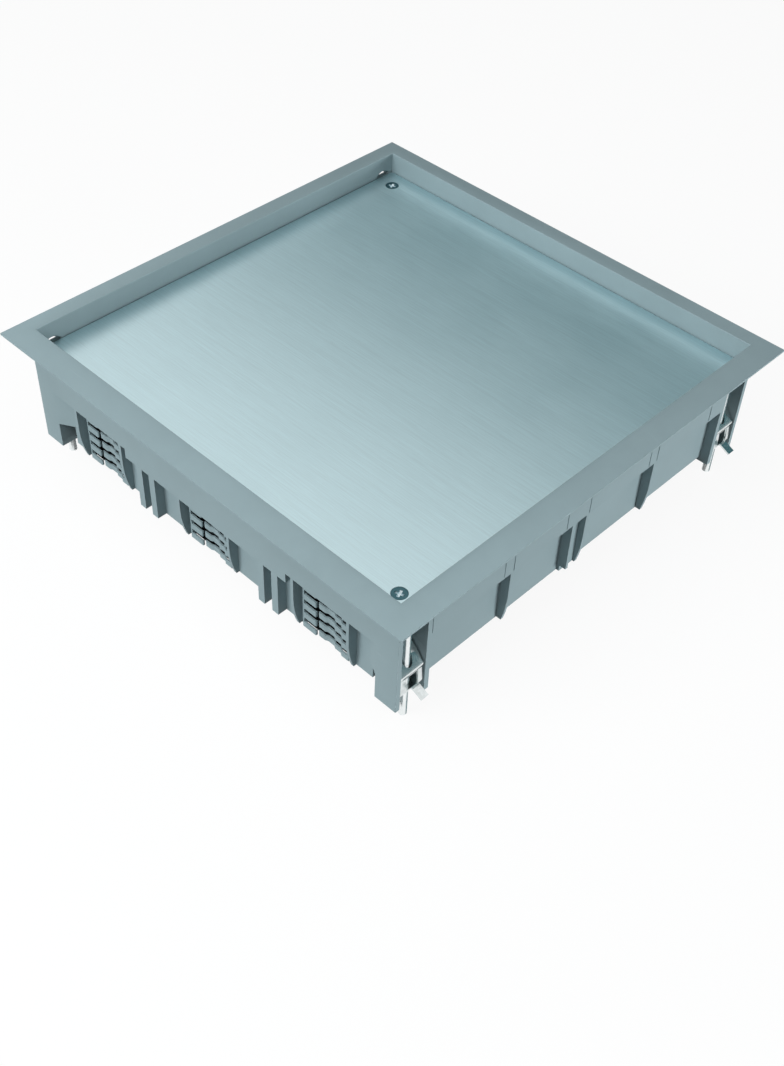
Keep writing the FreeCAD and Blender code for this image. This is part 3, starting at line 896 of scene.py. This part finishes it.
def add_grey_card():
    """Long grey card that leans behind the object, seen only in what is mirrored."""
    bm = bmesh.new()
    bm.faces.new([bm.verts.new(corner) for corner in GREY_CARD])
    graph = Graph("grey_card")
    grey = graph.add("ShaderNodeEmission", {}, {"Color": GREY_CARD_COLOUR, "Strength": 1.0})
    graph.add("ShaderNodeOutputMaterial", {}, {"Surface": grey.outputs[0]})
    card = mesh_object("grey_card", bm, graph.material)
    card.visible_camera = False
    card.visible_diffuse = False
    card.visible_shadow = False


def add_lights(settings):
    """Soft lamps overhead and in front, low softboxes round the object, and an even fill."""
    level = settings.light_level
    for name, (place, aim, size, share) in HIGH_SOFTBOXES.items():
        add_softbox(name, place, aim, size, level * share)
    side_level = level * settings.side_share
    for name, (place, aim, size, share) in LOW_SOFTBOXES.items():
        add_softbox(name, place, aim, size, side_level * share)
    world = bpy.data.worlds.new("studio")
    bpy.context.scene.world = world
    graph = Graph("studio", world)
    fill = graph.add("ShaderNodeBackground", {},
                     {"Color": FILL_COLOUR, "Strength": settings.sky_level})
    white = graph.add("ShaderNodeBackground", {}, {"Color": WHITE, "Strength": 1.0})
    whole = graph.add("ShaderNodeMixShader", {},
                      {0: seen_directly(graph), 1: fill.outputs[0], 2: white.outputs[0]})
    graph.add("ShaderNodeOutputWorld", {}, {"Surface": whole.outputs[0]})


def add_camera():
    """Camera at the photograph's place."""
    data = bpy.data.cameras.new("photo_camera")
    data.sensor_fit = "HORIZONTAL"
    data.sensor_width = SENSOR_WIDTH
    data.lens = FOCAL_LENGTH * SENSOR_WIDTH / PHOTO_WIDTH
    data.clip_start = NEAREST_SEEN
    camera = bpy.data.objects.new("photo_camera", data)
    axes = Matrix((CAMERA_RIGHT, -Vector(CAMERA_DOWN), -Vector(CAMERA_FORWARD))).transposed()
    camera.rotation_mode = "XYZ"
    camera.rotation_euler = axes.to_euler("XYZ")
    camera.location = (CAMERA_X, CAMERA_Y, CAMERA_RISE + EDGE_Z)
    bpy.context.scene.collection.objects.link(camera)
    bpy.context.scene.camera = camera


class COVER_PT_panel(bpy.types.Panel):
    """Lists the cover's settings and the steps that build it"""

    bl_idname = "COVER_PT_panel"
    bl_label = "Floor box cover"
    bl_space_type = "VIEW_3D"
    bl_region_type = "UI"
    bl_category = "Floor box"

    def draw(self, context):
        for name in CoverSettings.__annotations__:
            self.layout.prop(context.scene.floor_cover, name)
        for operator in OPERATORS:
            self.layout.operator(operator.bl_idname)


OPERATORS = (COVER_OT_frame, COVER_OT_plate, COVER_OT_clamp_screws, COVER_OT_claws, COVER_OT_stage)


def register():
    for kind in (CoverSettings, *OPERATORS, COVER_PT_panel):
        bpy.utils.register_class(kind)
    bpy.types.Scene.floor_cover = bpy.props.PointerProperty(type=CoverSettings)


def unregister():
    del bpy.types.Scene.floor_cover
    for kind in (COVER_PT_panel, *reversed(OPERATORS), CoverSettings):
        bpy.utils.unregister_class(kind)


def main():
    register()
    bpy.ops.floor_cover.frame()
    bpy.ops.floor_cover.plate()
    bpy.ops.floor_cover.clamp_screws()
    bpy.ops.floor_cover.claws()
    bpy.ops.floor_cover.stage()


if __name__ == "__main__":
    main()
